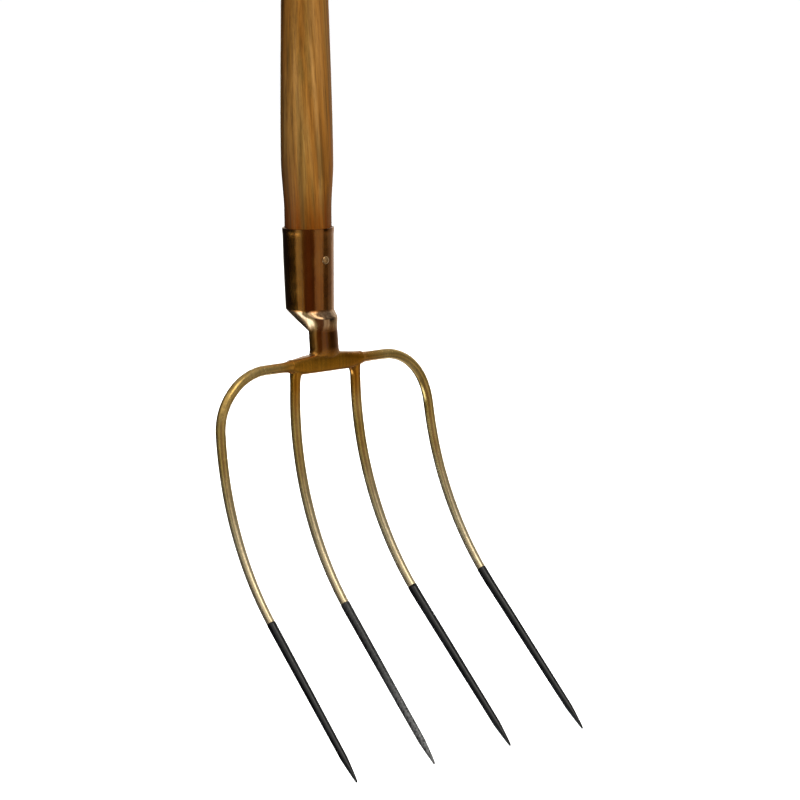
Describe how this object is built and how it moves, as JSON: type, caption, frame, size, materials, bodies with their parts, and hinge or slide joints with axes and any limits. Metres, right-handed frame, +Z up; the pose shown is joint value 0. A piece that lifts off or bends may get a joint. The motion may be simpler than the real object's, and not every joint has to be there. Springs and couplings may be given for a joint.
{
  "type": "digging fork",
  "caption": "Long-handled fork with thin round tines curved forward, a rolled steel socket nailed to a wooden shaft, and tine ends dipped in black.",
  "frame": {"origin": "on the shaft's axis, at the middle of the straight part of the handle", "axes": "+Z runs up the shaft to its free end, -Y is the side that the tines curve towards, and X runs across the head from the left tines (-X) to the right tines (+X)"},
  "size_m": [0.2338, 0.1978, 1.639],
  "materials": {
    "wood": "straight-grained ash under a thin amber varnish, satin, a little darker above the socket",
    "lacquered_steel": "forged steel under a glossy clear gold-brown lacquer, paler towards the dip line",
    "black_dip": "thin black dip paint, semi-gloss",
    "nail_steel": "small domed nail head under the same lacquer, worn bright"
  },
  "bodies": {
    "root": {"handle": "wood", "socket": "lacquered_steel", "nail": "nail_steel", "neck": "lacquered_steel", "bridge": "lacquered_steel", "tine_outer_left": "lacquered_steel", "tine_inner_left": "lacquered_steel", "tine_inner_right": "lacquered_steel", "tine_outer_right": "lacquered_steel", "dip_coat_outer_left": "black_dip", "dip_coat_inner_left": "black_dip", "dip_coat_inner_right": "black_dip", "dip_coat_outer_right": "black_dip"}
  },
  "joints": []
}
